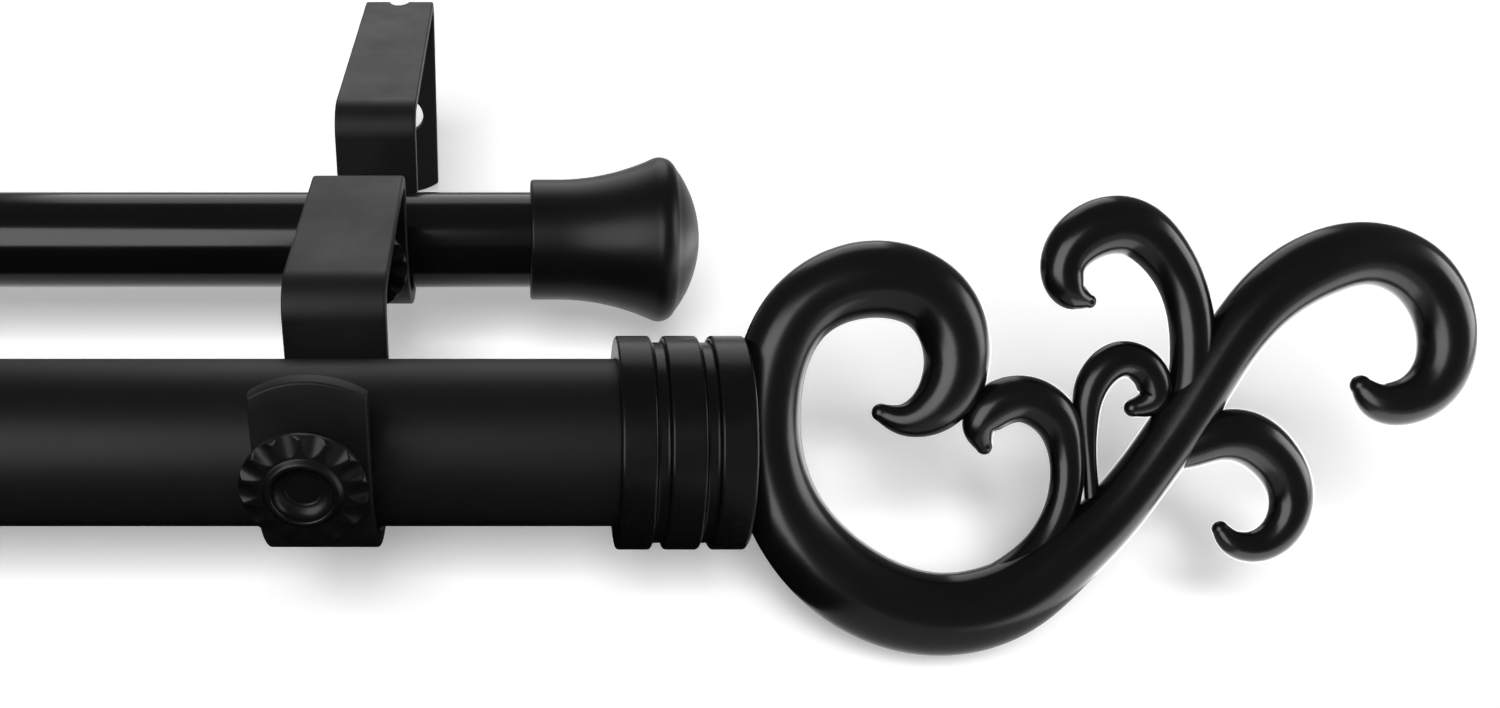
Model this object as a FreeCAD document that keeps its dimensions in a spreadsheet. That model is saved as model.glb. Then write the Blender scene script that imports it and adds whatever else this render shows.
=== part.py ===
import FreeCAD, Part
import math
import os

import Sketcher
from FreeCAD import Placement, Rotation, Vector

# Double curtain pole: two telescoping poles on two bent-strip wall brackets.
# Frame: +X along the poles, +Z up, the wall is the plane Y = 0 and the room is on the -Y side.
# Origin: midway between the right bracket's two screw holes, on the wall face. Lengths in millimetres.

doc = FreeCAD.newDocument("DoubleCurtainPole")
sheet = doc.addObject("Spreadsheet::Sheet", "Sizes")

SIZES = [
    # Poles
    ("front_outer_diameter", 25.4),
    ("rear_outer_diameter", 19.05),
    ("tube_wall", 0.8),
    ("slide_clearance", 0.08),
    ("bracket_spacing", 591.0),
    ("outer_tube_left_gap", 25.0),
    ("front_closed_gap", 17.0),
    ("rear_closed_gap", 39.2),
    # Bracket strip, bent from one flat bar
    ("strip_width", 16.5),
    ("strip_thickness", 2.5),
    ("bend_radius", 3.8),
    ("cup_radius", 15.1),
    ("cup_height", 11.75),
    ("seat_gap", 0.2),
    ("front_axis_distance", 180.0),
    ("rear_axis_distance", 99.0),
    ("arm_top_height", 28.35),
    ("front_leg_top", 30.15),
    ("plate_drop", 23.75),
    ("strip_end_radius", 14.5),
    # Wall holes
    ("screw_hole_diameter", 5.0),
    ("screw_hole_spacing", 29.5),
    ("keyhole_entry_diameter", 9.6),
    ("keyhole_height", -2.45),
    ("keyhole_slot_width", 5.0),
    ("keyhole_slot_rise", 9.0),
    # Pressed dart that stiffens the bend at the wall plate
    ("dart_half_length", 5.8),
    ("dart_half_width", 3.0),
    ("dart_offset", 2.2),
    # Thumb screws
    ("front_screw_rise", 8.5),
    ("rear_screw_rise", 5.9),
    ("stud_diameter", 5.0),
    ("stud_clearance", 0.05),
    ("stud_nose_gap", 0.3),
    ("stud_seat_depth", 4.4),
    ("stud_edge", 0.4),
    ("knob_standoff", 1.7),
    ("knob_diameter", 17.6),
    ("knob_hub_diameter", 11.0),
    ("knob_hub_length", 4.0),
    ("knob_back_taper", 1.6),
    ("knob_rim_width", 2.8),
    ("knob_length", 7.8),
    ("knob_ring_diameter", 11.0),
    ("knob_ring_width", 1.2),
    ("knob_ring_height", 0.6),
    ("knob_dish_depth", 1.7),
    ("knob_dish_diameter", 5.6),
    ("knob_dish_wall_radius", 2.0),
    ("flute_count", 14),
    ("flute_radius", 2.6),
    ("flute_length", 6.0),
    ("flute_depth", 0.7),
    ("flute_tilt", 19.5),
    # Collar on the end of the front pole
    ("collar_distance", 43.6),
    ("collar_diameter", 32.4),
    ("collar_ring_width", 5.2),
    ("collar_groove_width", 1.9),
    ("collar_groove_depth", 1.0),
    ("collar_edge", 0.4),
    ("collar_end_wall", 3.0),
    ("collar_clearance", 0.05),
    # Plug in the end of the front pole and the stud that carries the finial
    ("plug_length", 18.0),
    ("plug_clearance", 0.03),
    ("plug_edge", 0.5),
    ("finial_stud_diameter", 4.0),
    ("finial_stud_reach", 6.5),
    ("finial_stud_grip", 12.0),
    ("finial_stud_end_gap", 0.3),
    ("finial_stud_edge", 0.4),
    ("thread_clearance", 0.03),
    # Scroll finial
    ("scroll_length", 111.4),
    ("scroll_turn", 29.0),
    ("section_depth_ratio", 0.88),
    ("tip_ball_ratio", 1.05),
    # End cap of the rear pole
    ("cap_distance", 31.6),
    ("cap_length", 33.6),
    ("cap_neck_diameter", 24.0),
    ("cap_neck_length", 6.0),
    ("cap_edge", 0.7),
    ("cap_flare_end", 24.0),
    ("cap_flare_diameter", 32.0),
    ("cap_flare_radius", 45.0),
    ("cap_rim_radius", 3.4),
    ("cap_dome_start", 28.7),
    ("cap_dome_diameter", 28.8),
    ("cap_dome_radius", 23.4),
    ("cap_socket_depth", 20.0),
    ("cap_clearance", 0.05),
]

for row, (alias, number) in enumerate(SIZES, start=1):
    sheet.set(f"A{row}", alias)
    sheet.set(f"B{row}", str(number))
    sheet.setAlias(f"B{row}", alias)
doc.recompute()


def size(expression):
    """The number that an expression over the sheet has now."""
    return float(sheet.evalExpression(expression))


def named(*aliases):
    """Expressions for sheet cells, by alias."""
    return [f"Sizes.{alias}" for alias in aliases]


def place(obj, x, y, z, rotation=None):
    """Turn an object, then bind its place to expressions."""
    if rotation:
        obj.Placement = Placement(Vector(), rotation)
    for axis, expression in (("x", x), ("y", y), ("z", z)):
        obj.setExpression(f"Placement.Base.{axis}", expression)


def new_body(label):
    body = doc.addObject("PartDesign::Body", label)
    body.Label = label
    return body


def new_sketch(body, name, plane, offset=None):
    """A sketch on one of the body's own origin planes, moved off it by an expression if one is given."""
    sketch = body.newObject("Sketcher::SketchObject", name)
    support = [f for f in body.Origin.OriginFeatures if f.Role == plane][0]
    sketch.AttachmentSupport = [(support, "")]
    sketch.MapMode = "FlatFace"
    if offset:
        sketch.setExpression("AttachmentOffset.Base.z", offset)
    return sketch


def bind(sketch, kind, geometry, point, expression):
    """Tie one coordinate of a sketch point to an expression, by its distance from the origin."""
    number = size(expression)
    on_axis = {"DistanceX": -2, "DistanceY": -1}[kind]
    if abs(number) < 1e-9:
        sketch.addConstraint(Sketcher.Constraint("PointOnObject", geometry, point, on_axis))
        return
    if number > 0:
        ends = (-1, 1, geometry, point)
        formula = expression
    else:
        ends = (geometry, point, -1, 1)
        formula = f"-({expression})"
    index = sketch.addConstraint(Sketcher.Constraint(kind, *ends, abs(number)))
    sketch.setExpression(f"Constraints[{index}]", formula)


def draw_outline(sketch, points):
    """A closed outline. Each point is (x, y) or (x, y, radius, side): the edge that leaves it is then
    an arc, which turns to the left (side 1) or to the right (side -1)."""
    spots = [Vector(size(p[0]), size(p[1]), 0) for p in points]
    ends = []
    for number, point in enumerate(points):
        a = spots[number]
        b = spots[(number + 1) % len(points)]
        if len(point) == 2:
            index = sketch.addGeometry(Part.LineSegment(a, b))
            ends.append((index, 1, 2))
            continue
        radius = size(point[2])
        side = point[3]
        chord = b - a
        half = chord.Length / 2
        rise = math.sqrt(max(radius ** 2 - half ** 2, 0))
        left = Vector(-chord.y, chord.x, 0).normalize()
        sag = radius - rise
        middle = (a + b) * 0.5 - left * sag * side
        arc = Part.Arc(a, middle, b).toShape().Curve
        start = math.atan2(a.y - arc.Center.y, a.x - arc.Center.x)
        stop = math.atan2(b.y - arc.Center.y, b.x - arc.Center.x)
        circle = Part.Circle(arc.Center, Vector(0, 0, 1), radius)
        if side > 0:
            index = sketch.addGeometry(Part.ArcOfCircle(circle, start, stop))
            ends.append((index, 1, 2))
        else:
            index = sketch.addGeometry(Part.ArcOfCircle(circle, stop, start))
            ends.append((index, 2, 1))
        constraint = sketch.addConstraint(Sketcher.Constraint("Radius", index, radius))
        sketch.setExpression(f"Constraints[{constraint}]", point[2])
    for number, point in enumerate(points):
        index, start, stop = ends[number]
        following = ends[(number + 1) % len(points)]
        sketch.addConstraint(Sketcher.Constraint("Coincident", index, stop, following[0], following[1]))
        bind(sketch, "DistanceX", index, start, point[0])
        bind(sketch, "DistanceY", index, start, point[1])


def draw_circle(sketch, x, y, diameter):
    centre = Vector(size(x), size(y), 0)
    index = sketch.addGeometry(Part.Circle(centre, Vector(0, 0, 1), size(diameter) / 2))
    bind(sketch, "DistanceX", index, 3, x)
    bind(sketch, "DistanceY", index, 3, y)
    constraint = sketch.addConstraint(Sketcher.Constraint("Diameter", index, size(diameter)))
    sketch.setExpression(f"Constraints[{constraint}]", diameter)


def turned(label, outline):
    """A piece turned about its own X axis, from an outline of (along the axis, radius) points."""
    body = new_body(label)
    sketch = new_sketch(body, label + "_profile", "XY_Plane")
    draw_outline(sketch, outline)
    turn = body.newObject("PartDesign::Revolution", label + "_turn")
    turn.Profile = sketch
    turn.ReferenceAxis = (sketch, ["H_Axis"])
    turn.Angle = 360
    body.Tip = turn
    return body


def pocket(body, sketch, depth):
    """Cut a sketch's outline into the body, towards +Y, and see that it took something away."""
    doc.recompute()
    before = body.Shape.Volume
    cut = body.newObject("PartDesign::Pocket", sketch.Name + "_cut")
    cut.Profile = sketch
    cut.setExpression("Length", depth)
    body.Tip = cut
    doc.recompute()
    if not body.Shape.Volume < before - 1e-6:
        raise RuntimeError(f"{cut.Name} cuts nothing")


# Expressions that several pieces share

THICK, WIDTH, BEND, CUP = named("strip_thickness", "strip_width", "bend_radius", "cup_radius")
HALF_THICK = f"{THICK}/2"
ARM = f"(Sizes.arm_top_height - {HALF_THICK})"
CUP_Z = "Sizes.cup_height"
FRONT_Y = "-Sizes.front_axis_distance"
REAR_Y = "-Sizes.rear_axis_distance"
FRONT_INNER_DIAMETER = "(Sizes.front_outer_diameter - 2*Sizes.tube_wall - 2*Sizes.slide_clearance)"
REAR_INNER_DIAMETER = "(Sizes.rear_outer_diameter - 2*Sizes.tube_wall - 2*Sizes.slide_clearance)"
FRONT_Z = f"({CUP_Z} - {CUP} + Sizes.seat_gap + Sizes.front_outer_diameter/2)"
REAR_Z = f"({CUP_Z} - {CUP} + Sizes.seat_gap + Sizes.rear_outer_diameter/2)"
LEFT_X = "-Sizes.bracket_spacing"
COLLAR_LENGTH = "(3*Sizes.collar_ring_width + 2*Sizes.collar_groove_width)"
TUBE_IN_COLLAR = f"({COLLAR_LENGTH} - Sizes.collar_end_wall)"
FRONT_END = f"(Sizes.collar_distance + {TUBE_IN_COLLAR})"
REAR_END = "(Sizes.cap_distance + Sizes.cap_socket_depth)"
FRONT_INNER_LENGTH = (f"(Sizes.bracket_spacing + 2*{FRONT_END} - Sizes.plug_length"
                      " - Sizes.front_closed_gap)")
REAR_INNER_LENGTH = f"(Sizes.bracket_spacing + 2*{REAR_END} - Sizes.rear_closed_gap)"
FACE_ROOM = Rotation(Vector(0, 0, 1), -90)
FACE_LEFT = Rotation(Vector(0, 0, 1), 180)


# Brackets

def strip_edge(side):
    """One edge of the bent strip, from the wall plate's foot to the front leg's top: the middle line,
    moved by half a thickness to the left (side 1) or right (side -1) of the way along it."""
    bend = f"({BEND} + {HALF_THICK})"
    cup = f"({CUP} + {HALF_THICK})"
    low = f"({ARM} - {bend})"
    left_arc = (f"({BEND} + {HALF_THICK}*{1 - side})", 1)
    right_arc = (f"({CUP} + {HALF_THICK}*{1 + side})", -1)
    up, back, down = (-1, 0), (0, -1), (1, 0)
    line = [("-" + HALF_THICK, "-Sizes.plate_drop", up, None),
            ("-" + HALF_THICK, low, up, left_arc),
            (f"-{HALF_THICK} - {bend}", ARM, back, None)]
    for axis in (REAR_Y, FRONT_Y):
        line += [(f"{axis} + {cup} + {bend}", ARM, back, left_arc),
                 (f"{axis} + {cup}", low, down, None),
                 (f"{axis} + {cup}", CUP_Z, down, right_arc),
                 (axis, f"{CUP_Z} - {cup}", back, right_arc)]
        if axis == REAR_Y:
            line += [(f"{axis} - {cup}", CUP_Z, up, None),
                     (f"{axis} - {cup}", low, up, left_arc),
                     (f"{axis} - {cup} - {bend}", ARM, back, None)]
    line += [(f"{FRONT_Y} - {cup}", CUP_Z, up, None),
             (f"{FRONT_Y} - {cup}", "Sizes.front_leg_top", up, None)]
    edge = []
    for y, z, left, arc in line:
        edge.append((f"{y} + {HALF_THICK}*{side * left[0]}", f"{z} + {HALF_THICK}*{side * left[1]}", arc))
    return edge


def strip_outline():
    """The closed side view of the strip: its left edge forwards, then its right edge back."""
    outline = []
    for y, z, arc in strip_edge(1):
        outline.append((y, z) + arc if arc else (y, z))
    back = strip_edge(-1)
    for number in range(len(back) - 1, -1, -1):
        y, z = back[number][:2]
        arc = back[number - 1][2] if number else None
        outline.append((y, z, arc[0], -arc[1]) if arc else (y, z))
    return outline


def round_end(body, name, offset, tip, way):
    """Cut the strip's end to an arc across its width. way is 1 for a top end and -1 for a bottom end."""
    half = f"{WIDTH}/2"
    sag = f"(Sizes.strip_end_radius - sqrt(Sizes.strip_end_radius^2 - ({half})^2))"
    corner = f"{tip} - {way}*{sag}"
    beyond = f"{tip} + {way}*{THICK}"
    sketch = new_sketch(body, name, "XZ_Plane", offset)
    draw_outline(sketch, [(f"-{half}", corner, "Sizes.strip_end_radius", -way), (half, corner),
                          (WIDTH, corner), (WIDTH, beyond), (f"-{WIDTH}", beyond), (f"-{WIDTH}", corner)])
    return sketch


def bracket(label, x):
    """A flat bar bent to a wall plate, two arms and two cups, with rounded ends, wall holes and screw
    holes."""
    body = new_body(label)
    profile = new_sketch(body, label + "_profile", "YZ_Plane")
    draw_outline(profile, strip_outline())
    pad = body.newObject("PartDesign::Pad", label + "_strip")
    pad.Profile = profile
    pad.setExpression("Length", WIDTH)
    pad.Midplane = True
    body.Tip = pad

    plate_front = f"2*{THICK}"
    leg_front = f"-({FRONT_Y} - {CUP} - 2*{THICK})"
    rear_leg_front = f"-({REAR_Y} - {CUP} - 2*{THICK})"
    through = f"3*{THICK}"
    pocket(body, round_end(body, label + "_foot", plate_front, "-Sizes.plate_drop", -1), through)
    pocket(body, round_end(body, label + "_leg_top", leg_front, "Sizes.front_leg_top", 1), through)

    holes = new_sketch(body, label + "_wall_holes", "XZ_Plane", plate_front)
    for height in ("-Sizes.screw_hole_spacing/2", "Sizes.screw_hole_spacing/2"):
        draw_circle(holes, "0", height, "Sizes.screw_hole_diameter")
    draw_circle(holes, "0", "Sizes.keyhole_height", "Sizes.keyhole_entry_diameter")
    pocket(body, holes, through)
    slot = new_sketch(body, label + "_keyhole_slot", "XZ_Plane", plate_front)
    half_slot = "Sizes.keyhole_slot_width/2"
    slot_top = "Sizes.keyhole_height + Sizes.keyhole_slot_rise"
    draw_outline(slot, [(f"-{half_slot}", "Sizes.keyhole_height"), (half_slot, "Sizes.keyhole_height"),
                        (half_slot, slot_top, half_slot, 1),
                        ("0", f"{slot_top} + {half_slot}", half_slot, 1), (f"-{half_slot}", slot_top)])
    pocket(body, slot, through)
    tapped = "Sizes.stud_diameter + 2*Sizes.stud_clearance"
    for name, offset, height in (("front", leg_front, f"{FRONT_Z} + Sizes.front_screw_rise"),
                                 ("rear", rear_leg_front, f"{REAR_Z} + Sizes.rear_screw_rise")):
        hole = new_sketch(body, f"{label}_{name}_screw", "XZ_Plane", offset)
        draw_circle(hole, "0", height, tapped)
        pocket(body, hole, through)

    bend = f"({BEND} + {HALF_THICK})"
    for kind, name, shift in (("Additive", "dart", "0"), ("Subtractive", "dart_hollow", THICK)):
        dart = body.newObject(f"PartDesign::{kind}Ellipsoid", f"{label}_{name}")
        dart.setExpression("Radius1", "Sizes.dart_half_width")
        dart.setExpression("Radius2", "Sizes.dart_half_width")
        dart.setExpression("Radius3", "Sizes.dart_half_length")
        dart.Angle1 = -90
        dart.Angle2 = 90
        dart.Angle3 = 360
        out = f"(Sizes.dart_offset + {shift})*sqrt(0.5)"
        place(dart, "0", f"-{HALF_THICK} - {bend} + {out}", f"{ARM} - {bend} + {out}",
              Rotation(Vector(1, 0, 0), -45))
        body.Tip = dart
    place(body, x, "0", "0")
    return body


# Poles

def tube(label, diameter, length, x, y, z):
    """A straight tube along X, from its left end at x."""
    body = new_body(label)
    sketch = new_sketch(body, label + "_section", "YZ_Plane")
    draw_circle(sketch, "0", "0", diameter)
    draw_circle(sketch, "0", "0", f"{diameter} - 2*Sizes.tube_wall")
    pad = body.newObject("PartDesign::Pad", label + "_length")
    pad.Profile = sketch
    pad.setExpression("Length", length)
    body.Tip = pad
    place(body, x, y, z)
    return body


# Front pole ends. Each piece is drawn with its axis on X and the bracket side at x = 0.

def collar(label, tube_diameter):
    """A cap of three rings parted by two grooves, which slips over the tube's end."""
    bore = f"{tube_diameter}/2 + Sizes.collar_clearance"
    rim = "Sizes.collar_diameter/2"
    bevel = "Sizes.collar_edge"
    groove = f"{rim} - Sizes.collar_groove_depth"
    ring = "Sizes.collar_ring_width"
    gap = "Sizes.collar_groove_width"
    outline = [("0", bore)]
    for number in range(3):
        start = f"{number}*({ring} + {gap})"
        stop = f"{start} + {ring}"
        if number:
            outline += [(f"{start} - {gap}", groove), (start, groove)]
        outline += [(start, f"{rim} - {bevel}"), (f"{start} + {bevel}", rim), (f"{stop} - {bevel}", rim),
                    (stop, f"{rim} - {bevel}")]
    stud = "Sizes.finial_stud_diameter/2 + Sizes.thread_clearance"
    outline += [(COLLAR_LENGTH, stud), (TUBE_IN_COLLAR, stud), (TUBE_IN_COLLAR, bore)]
    return turned(label, outline)


def plug(label, tube_diameter):
    """The tapped plug that is pressed into the tube's end."""
    outside = f"{tube_diameter}/2 - Sizes.tube_wall - Sizes.plug_clearance"
    stud = "Sizes.finial_stud_diameter/2 + Sizes.thread_clearance"
    length = "Sizes.plug_length"
    edge = "Sizes.plug_edge"
    return turned(label, [("0", stud), ("0", f"{outside} - {edge}"), (edge, outside), (length, outside),
                          (length, stud)])


def finial_stud(label):
    """The headless stud that joins the plug, the collar's end wall and the finial."""
    radius = "Sizes.finial_stud_diameter/2"
    length = ("Sizes.finial_stud_grip + Sizes.collar_end_wall + Sizes.finial_stud_reach"
              " - Sizes.finial_stud_end_gap")
    edge = "Sizes.finial_stud_edge"
    return turned(label, [("0", "0"), ("0", f"{radius} - {edge}"), (edge, radius),
                          (f"{length} - {edge}", radius), (length, f"{radius} - {edge}"), (length, "0")])


# Scroll finial. Each limb is a list of stations on its middle line, as (along the pole from the collar,
# height, half width) at the scroll's drawn size.

MAIN_STEM = [
    (21.1, 4.5, 1.4), (24.2, 3.5, 2.4), (28.8, 4.9, 3.8), (32.6, 11.8, 4.9), (29.4, 21.5, 5.5),
    (20.9, 24.8, 5.9), (9.3, 20.4, 5.4), (3.6, 5.9, 5.3), (6.0, -9.6, 5.8), (15.7, -21.2, 6.5),
    (29.4, -26.1, 6.3), (41.0, -23.5, 5.8), (49.0, -17.6, 5.0), (55.7, -11.4, 4.4), (62.1, -3.5, 4.1),
    (67.9, 5.0, 4.2), (74.8, 15.9, 4.3), (81.1, 22.9, 4.8), (88.3, 27.2, 5.1), (95.1, 28.6, 4.9),
    (102.2, 26.1, 4.7), (107.1, 17.1, 4.3), (105.3, 9.2, 3.9), (101.5, 6.3, 3.6), (96.6, 6.3, 2.9),
    (94.1, 8.6, 1.6)]
INNER_CURL = [
    (36.0, -23.5, 3.4), (41.0, -20.6, 3.4), (45.4, -16.3, 2.9), (48.3, -10.8, 2.5), (49.4, -5.7, 2.5),
    (49.2, -1.1, 2.7), (47.1, 4.2, 3.5), (42.5, 6.6, 3.6), (37.9, 5.0, 3.4), (36.1, 1.9, 2.5),
    (36.8, -0.6, 1.3)]
BUD_CURL = [
    (53.4, -11.0, 1.2), (53.0, -5.5, 1.1), (52.7, -1.5, 1.2), (52.4, 3.3, 1.8), (53.2, 8.6, 2.5),
    (57.7, 12.6, 2.8), (62.0, 10.4, 2.7), (62.4, 6.5, 2.3), (59.5, 5.2, 1.4)]
UPPER_CURL = [
    (64.5, 1.1, 2.7), (67.5, 6.4, 3.2), (68.5, 13.2, 3.3), (67.8, 21.2, 3.4), (65.0, 27.5, 3.7),
    (58.2, 32.9, 4.5), (51.7, 31.1, 4.2), (48.8, 26.0, 3.3), (50.3, 22.5, 2.5), (52.8, 21.4, 1.1)]
LOWER_CURL = [
    (64.2, -2.4, 2.2), (68.0, -0.8, 3.2), (71.9, 0.8, 3.8), (75.9, 0.9, 4.1), (80.3, -1.8, 3.9),
    (83.4, -8.1, 3.3), (81.6, -13.7, 2.8), (77.5, -15.9, 2.4), (74.2, -15.0, 1.9), (72.7, -13.2, 1.25)]


def drawn_reach():
    """How far the drawn stem reaches from the collar, which the scroll's length is measured against."""
    return max(x + half for x, z, half in MAIN_STEM)


def limb(stations, ball_ends):
    """A limb of the scroll: oval sections square to a smooth middle line, skinned, with a ball on each
    free tip."""
    scale = size("Sizes.scroll_length") / drawn_reach()
    slimness = size("Sizes.section_depth_ratio")
    centres = [Vector(x, 0, z) * scale for x, z, half in stations]
    line = Part.BSplineCurve()
    line.interpolate(centres)
    depth = Vector(0, 1, 0)
    sections = []
    balls = []
    for number, (centre, station) in enumerate(zip(centres, stations)):
        half = station[2] * scale
        way = Vector(*line.tangent(line.parameter(centre))[0])
        across = way.cross(depth).normalize()
        oval = Part.Ellipse(centre + across * half, centre + depth * half * slimness, centre)
        sections.append(Part.Wire(oval.toShape()))
        if number in ball_ends:
            balls.append(Part.makeSphere(half * size("Sizes.tip_ball_ratio"), centre))
    skin = Part.makeLoft(sections, True)
    return skin.fuse(balls)


def finial(label):
    """The cast scroll: five limbs in one piece, cut flat where it seats on the collar and tapped for the
    stud."""
    solid = limb(MAIN_STEM, [0, len(MAIN_STEM) - 1])
    for stations in (INNER_CURL, BUD_CURL, UPPER_CURL, LOWER_CURL):
        solid = solid.fuse(limb(stations, [len(stations) - 1]))
    reach = size("Sizes.scroll_length")
    behind = Part.makeBox(reach, 2 * reach, 2 * reach, Vector(-reach, -reach, -reach))
    radius = size("Sizes.finial_stud_diameter/2 + Sizes.thread_clearance")
    tapped = Part.makeCylinder(radius, size("Sizes.finial_stud_reach"), Vector(), Vector(1, 0, 0))
    solid = solid.cut(behind).cut(tapped).removeSplitter()
    piece = doc.addObject("Part::Feature", label)
    piece.Label = label
    piece.Shape = solid
    return piece


# Rear pole end

def end_cap(label, tube_diameter):
    """A flared cap with a domed face and a socket for the tube's end."""
    socket = f"{tube_diameter}/2 + Sizes.cap_clearance"
    neck = "Sizes.cap_neck_diameter/2"
    edge = "Sizes.cap_edge"
    return turned(label, [
        ("0", socket), ("0", f"{neck} - {edge}", edge, -1), (edge, neck),
        ("Sizes.cap_neck_length", neck, "Sizes.cap_flare_radius", 1),
        ("Sizes.cap_flare_end", "Sizes.cap_flare_diameter/2", "Sizes.cap_rim_radius", -1),
        ("Sizes.cap_dome_start", "Sizes.cap_dome_diameter/2", "Sizes.cap_dome_radius", -1),
        ("Sizes.cap_length", "0"), ("Sizes.cap_socket_depth", "0"), ("Sizes.cap_socket_depth", socket)])


# Thumb screws, drawn with the axis on X: the bracket's leg is at x = 0 and the room on the +X side.

def thumb_knob(label):
    """A fluted knob with a hub behind it, a raised ring round a bowl in its face, and a blind seat for the
    stud."""
    seat = "Sizes.stud_diameter/2 + Sizes.stud_clearance"
    hub = "Sizes.knob_hub_diameter/2"
    rim = "Sizes.knob_diameter/2"
    ring = "Sizes.knob_ring_diameter/2"
    face = "Sizes.knob_length - Sizes.knob_ring_height"
    rim_front = "Sizes.knob_hub_length + Sizes.knob_rim_width"
    floor = "Sizes.knob_length - Sizes.knob_dish_depth"
    body = turned(label, [
        ("0", seat), ("0", hub), ("Sizes.knob_hub_length", hub),
        ("Sizes.knob_hub_length", f"{rim} - Sizes.knob_back_taper"),
        ("Sizes.knob_hub_length + Sizes.knob_back_taper", rim), (rim_front, rim),
        (face, ring), ("Sizes.knob_length", f"{ring} - Sizes.knob_ring_width/2"),
        ("Sizes.knob_length", f"{ring} - Sizes.knob_ring_width", "Sizes.knob_dish_wall_radius", 1),
        (floor, "Sizes.knob_dish_diameter/2"),
        (floor, "0"), ("Sizes.stud_seat_depth", "0"), ("Sizes.stud_seat_depth", seat)])
    doc.recompute()
    before = body.Shape.Volume
    flute = body.newObject("PartDesign::SubtractiveCylinder", label + "_flute")
    flute.setExpression("Radius", "Sizes.flute_radius")
    flute.setExpression("Height", "Sizes.flute_length")
    flute.Angle = 360
    start = f"({ring} + Sizes.flute_radius*sin(Sizes.flute_tilt))"
    place(flute, f"{rim_front} - Sizes.flute_depth + Sizes.flute_radius/cos(Sizes.flute_tilt)"
                 f" + ({rim} - {start})*tan(Sizes.flute_tilt)", "0", start,
          Rotation(Vector(0, 1, 0), -size("Sizes.flute_tilt")))
    ring_of = body.newObject("PartDesign::PolarPattern", label + "_flutes")
    ring_of.Originals = [flute]
    ring_of.Axis = ([f for f in body.Origin.OriginFeatures if f.Role == "X_Axis"][0], [""])
    ring_of.Angle = 360
    ring_of.setExpression("Occurrences", "Sizes.flute_count")
    body.Tip = ring_of
    doc.recompute()
    if not body.Shape.Volume < before - 1e-6:
        raise RuntimeError(f"{label} has no flutes")
    return body


def stud_length(tube_diameter, rise):
    """From the stud's seat in the knob to just short of the pole, at a height above the pole's axis."""
    pole_face = f"sqrt(({tube_diameter}/2 + Sizes.stud_nose_gap)^2 - ({rise} - Sizes.stud_diameter/2)^2)"
    return f"(Sizes.stud_seat_depth + Sizes.knob_standoff + {THICK} + {CUP} - {pole_face})"


def thumb_stud(label, length):
    """The knob's threaded shank, from x = 0 in the knob towards the pole."""
    radius = "Sizes.stud_diameter/2"
    edge = "Sizes.stud_edge"
    return turned(label, [("0", "0"), ("0", f"{radius} - {edge}"), (edge, radius), (length, radius),
                          (length, "0")])


# Assembly

pieces = [bracket("bracket_right", "0"), bracket("bracket_left", LEFT_X)]
outer_left = f"({LEFT_X} + Sizes.outer_tube_left_gap)"
for pole, axis_y, axis_z, diameter, inner, end, inner_length in (
        ("front", FRONT_Y, FRONT_Z, "Sizes.front_outer_diameter", FRONT_INNER_DIAMETER, FRONT_END,
         FRONT_INNER_LENGTH),
        ("rear", REAR_Y, REAR_Z, "Sizes.rear_outer_diameter", REAR_INNER_DIAMETER, REAR_END,
         REAR_INNER_LENGTH)):
    pieces.append(tube(f"{pole}_outer_tube", diameter, f"{end} - {outer_left}", outer_left, axis_y, axis_z))
    pieces.append(tube(f"{pole}_inner_tube", inner, inner_length, f"{LEFT_X} - {end}", axis_y, axis_z))
    rise = f"Sizes.{pole}_screw_rise"
    leg_face = f"({axis_y} - {CUP} - {THICK} - Sizes.knob_standoff)"
    for side, x, held in (("right", "0", diameter), ("left", LEFT_X, inner)):
        height = f"{axis_z} + {rise}"
        knob = thumb_knob(f"thumb_knob_{pole}_{side}")
        place(knob, x, leg_face, height, FACE_ROOM)
        stud = thumb_stud(f"thumb_stud_{pole}_{side}", stud_length(held, rise))
        place(stud, x, f"{leg_face} - Sizes.stud_seat_depth", height, Rotation(Vector(0, 0, 1), 90))
        pieces += [knob, stud]

for side, way, base, held in (("right", 1, "0", "Sizes.front_outer_diameter"),
                              ("left", -1, LEFT_X, FRONT_INNER_DIAMETER)):
    turn = Rotation() if way > 0 else FACE_LEFT
    for piece, distance in (
            (collar(f"collar_{side}", held), "Sizes.collar_distance"),
            (plug(f"front_plug_{side}", held), f"{FRONT_END} - Sizes.plug_length"),
            (finial_stud(f"finial_stud_{side}"), f"{FRONT_END} - Sizes.finial_stud_grip")):
        place(piece, f"{base} + {way}*({distance})", FRONT_Y, FRONT_Z, turn)
        pieces.append(piece)
    scroll = finial(f"finial_{side}")
    lean = Rotation(Vector(1, 0, 0), -size("Sizes.scroll_turn"))
    place(scroll, f"{base} + {way}*(Sizes.collar_distance + {COLLAR_LENGTH})", FRONT_Y, FRONT_Z,
          lean * turn)
    pieces.append(scroll)

for side, way, base, held in (("right", 1, "0", "Sizes.rear_outer_diameter"),
                              ("left", -1, LEFT_X, REAR_INNER_DIAMETER)):
    cap = end_cap(f"end_cap_{side}", held)
    place(cap, f"{base} + {way}*Sizes.cap_distance", REAR_Y, REAR_Z, Rotation() if way > 0 else FACE_LEFT)
    pieces.append(cap)

doc.recompute()
for obj in doc.Objects:
    if "Invalid" in obj.State or "Error" in obj.State:
        raise RuntimeError(f"{obj.Label} failed: {obj.State}")
os.makedirs("parts", exist_ok=True)
for piece in pieces:
    shape = piece.Shape
    if shape.isNull() or not shape.isValid() or len(shape.Solids) != 1:
        raise RuntimeError(f"{piece.Label} is not one sound solid")
for piece in pieces:
    piece.Shape.exportStep(f"parts/{piece.Label}.step")
    print(piece.Label, round(piece.Shape.Volume, 1))
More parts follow.
